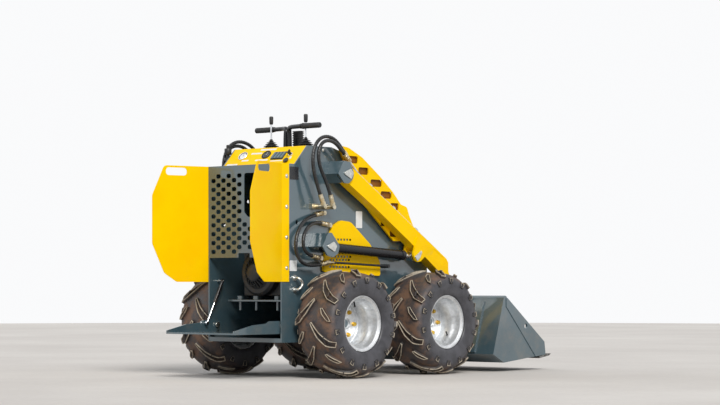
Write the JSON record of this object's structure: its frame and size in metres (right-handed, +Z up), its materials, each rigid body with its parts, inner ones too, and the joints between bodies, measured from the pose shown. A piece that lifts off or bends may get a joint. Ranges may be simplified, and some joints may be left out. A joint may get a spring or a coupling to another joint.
{
  "type": "mini skid steer loader",
  "caption": "Stand-on mini skid steer loader with rubber tyres, a radial lift arm with hydraulic cylinders, a digging bucket, a rear fold-up platform and open rear guards",
  "frame": {"origin": "the floor point below the middle of the whole machine", "axes": "X to the machine right, Y forward to the bucket, Z up"},
  "size_m": [1.102, 2.246, 1.3669],
  "materials": {
    "yellow_paint": "glossy yellow powder coat",
    "slate_paint": "glossy dark slate paint",
    "black_paint": "glossy black paint",
    "tyre_rubber": "matt dusty rubber",
    "rim_silver": "satin silver paint",
    "chrome_rod": "polished chrome",
    "zinc": "zinc plated",
    "hose_rubber": "satin black rubber",
    "engine_block": "cast grey",
    "black_plastic": "satin black plastic",
    "bar_black": "gloss black paint",
    "worn_steel": "worn bare steel"
  },
  "bodies": {
    "chassis": {"side_plate_right": "slate_paint", "side_plate_left": "slate_paint", "belly_pan": "slate_paint", "front_cover": "slate_paint", "deck": "slate_paint", "console": "yellow_paint", "rear_screen": "slate_paint", "flap_right": "yellow_paint", "flap_left": "yellow_paint", "engine_shelf": "slate_paint", "engine": "engine_block", "fan_housing": "black_plastic", "pivot_brackets_right": "slate_paint", "pivot_brackets_left": "slate_paint", "body_pins": "zinc", "platform_pins": "zinc", "wheel_motors": "slate_paint", "joysticks": "black_plastic", "handle_bars": "bar_black", "instruments": "black_plastic", "side_vent_right": "yellow_paint", "side_vent_left": "yellow_paint", "tie_downs": "zinc", "arm_hoses": "hose_rubber", "side_hoses": "hose_rubber", "hose_fittings": "zinc"},
    "lift_arm": {"arm_right": "yellow_paint", "arm_left": "yellow_paint", "gusset_right": "yellow_paint", "gusset_left": "yellow_paint", "upper_cross_tube": "yellow_paint", "lower_cross_tube": "yellow_paint", "arm_pins": "zinc", "arm_pipes": "zinc"},
    "bucket": {"bucket_shell": "slate_paint", "cutting_edge": "worn_steel", "quick_plate": "slate_paint"},
    "platform": {"platform": "slate_paint"},
    "strut_tube": {"strut_tube": "black_paint"},
    "strut_rod": {"strut_rod": "chrome_rod"},
    "tilt_barrel": {"tilt_barrel": "black_paint"},
    "tilt_rod": {"tilt_rod": "chrome_rod"},
    "lift_barrel_right": {"lift_barrel_right": "black_paint"},
    "lift_rod_right": {"lift_rod_right": "chrome_rod"},
    "wheel_rear_right": {"tyre_rear_right": "tyre_rubber", "rim_rear_right": "rim_silver"},
    "wheel_front_right": {"tyre_front_right": "tyre_rubber", "rim_front_right": "rim_silver"},
    "lift_barrel_left": {"lift_barrel_left": "black_paint"},
    "lift_rod_left": {"lift_rod_left": "chrome_rod"},
    "wheel_rear_left": {"tyre_rear_left": "tyre_rubber", "rim_rear_left": "rim_silver"},
    "wheel_front_left": {"tyre_front_left": "tyre_rubber", "rim_front_left": "rim_silver"}
  },
  "joints": [
    {"name": "wheel_rear_right_turn", "type": "hinge", "parent": "chassis", "child": "wheel_rear_right", "pos_m": [0.42, -0.483, 0.2795], "axis": [1, 0, 0], "continuous": true},
    {"name": "wheel_rear_left_turn", "type": "hinge", "parent": "chassis", "child": "wheel_rear_left", "pos_m": [-0.42, -0.483, 0.2795], "axis": [1, 0, 0], "continuous": true},
    {"name": "wheel_front_right_turn", "type": "hinge", "parent": "chassis", "child": "wheel_front_right", "pos_m": [0.42, 0.205, 0.2795], "axis": [1, 0, 0], "continuous": true},
    {"name": "wheel_front_left_turn", "type": "hinge", "parent": "chassis", "child": "wheel_front_left", "pos_m": [-0.42, 0.205, 0.2795], "axis": [1, 0, 0], "continuous": true},
    {"name": "lift", "type": "hinge", "parent": "chassis", "child": "lift_arm", "pos_m": [0, -0.402, 1.05], "axis": [1, 0, 0], "range_deg": [0, 75], "deforming": ["arm_hoses"]},
    {"name": "bucket_tilt", "type": "hinge", "parent": "lift_arm", "child": "bucket", "pos_m": [0, 0.547, 0.14], "axis": [1, 0, 0], "range_deg": [-100, 20]},
    {"name": "platform_fold", "type": "hinge", "parent": "chassis", "child": "platform", "pos_m": [0, -0.767, 0.27], "axis": [-1, 0, 0], "range_deg": [0, 75]},
    {"name": "lift_cylinder_right_swing", "type": "hinge", "parent": "chassis", "child": "lift_barrel_right", "pos_m": [0.315, -0.532, 0.672], "axis": [1, 0, 0], "range_deg": [-0.2, 53.67]},
    {"name": "lift_cylinder_right_stroke", "type": "slide", "parent": "lift_barrel_right", "child": "lift_rod_right", "axis": [0, 0.9984, -0.0571], "range_m": [-0.001, 0.4022]},
    {"name": "lift_cylinder_left_swing", "type": "hinge", "parent": "chassis", "child": "lift_barrel_left", "pos_m": [-0.315, -0.532, 0.672], "axis": [1, 0, 0], "range_deg": [-0.2, 53.67]},
    {"name": "lift_cylinder_left_stroke", "type": "slide", "parent": "lift_barrel_left", "child": "lift_rod_left", "axis": [0, 0.9984, -0.0571], "range_m": [-0.001, 0.4022]},
    {"name": "tilt_cylinder_swing", "type": "hinge", "parent": "lift_arm", "child": "tilt_barrel", "pos_m": [0, 0.199, 0.906], "axis": [1, 0, 0], "range_deg": [-0.6, 2.2]},
    {"name": "tilt_cylinder_stroke", "type": "slide", "parent": "tilt_barrel", "child": "tilt_rod", "axis": [0, 0.5125, -0.8587], "range_m": [-0.0411, 0.2017]},
    {"name": "strut_swing", "type": "hinge", "parent": "chassis", "child": "strut_tube", "pos_m": [-0.214, -0.741, 0.498], "axis": [1, 0, 0], "range_deg": [-0.2, 6.25]},
    {"name": "strut_stroke", "type": "slide", "parent": "strut_tube", "child": "strut_rod", "axis": [0, -0.4617, -0.887], "range_m": [-0.1053, 0.001]}
  ],
  "couplings": [
    {"joint": "lift_cylinder_right_swing", "follows": "lift", "ratio": 0.713},
    {"joint": "lift_cylinder_right_stroke", "follows": "lift", "m_per_rad": 0.3065},
    {"joint": "lift_cylinder_left_swing", "follows": "lift", "ratio": 0.713},
    {"joint": "lift_cylinder_left_stroke", "follows": "lift", "m_per_rad": 0.3065},
    {"joint": "tilt_cylinder_swing", "follows": "bucket_tilt", "ratio": -0.02},
    {"joint": "tilt_cylinder_stroke", "follows": "bucket_tilt", "m_per_rad": -0.115},
    {"joint": "strut_swing", "follows": "platform_fold", "ratio": 0.0807},
    {"joint": "strut_stroke", "follows": "platform_fold", "m_per_rad": -0.079708}
  ]
}
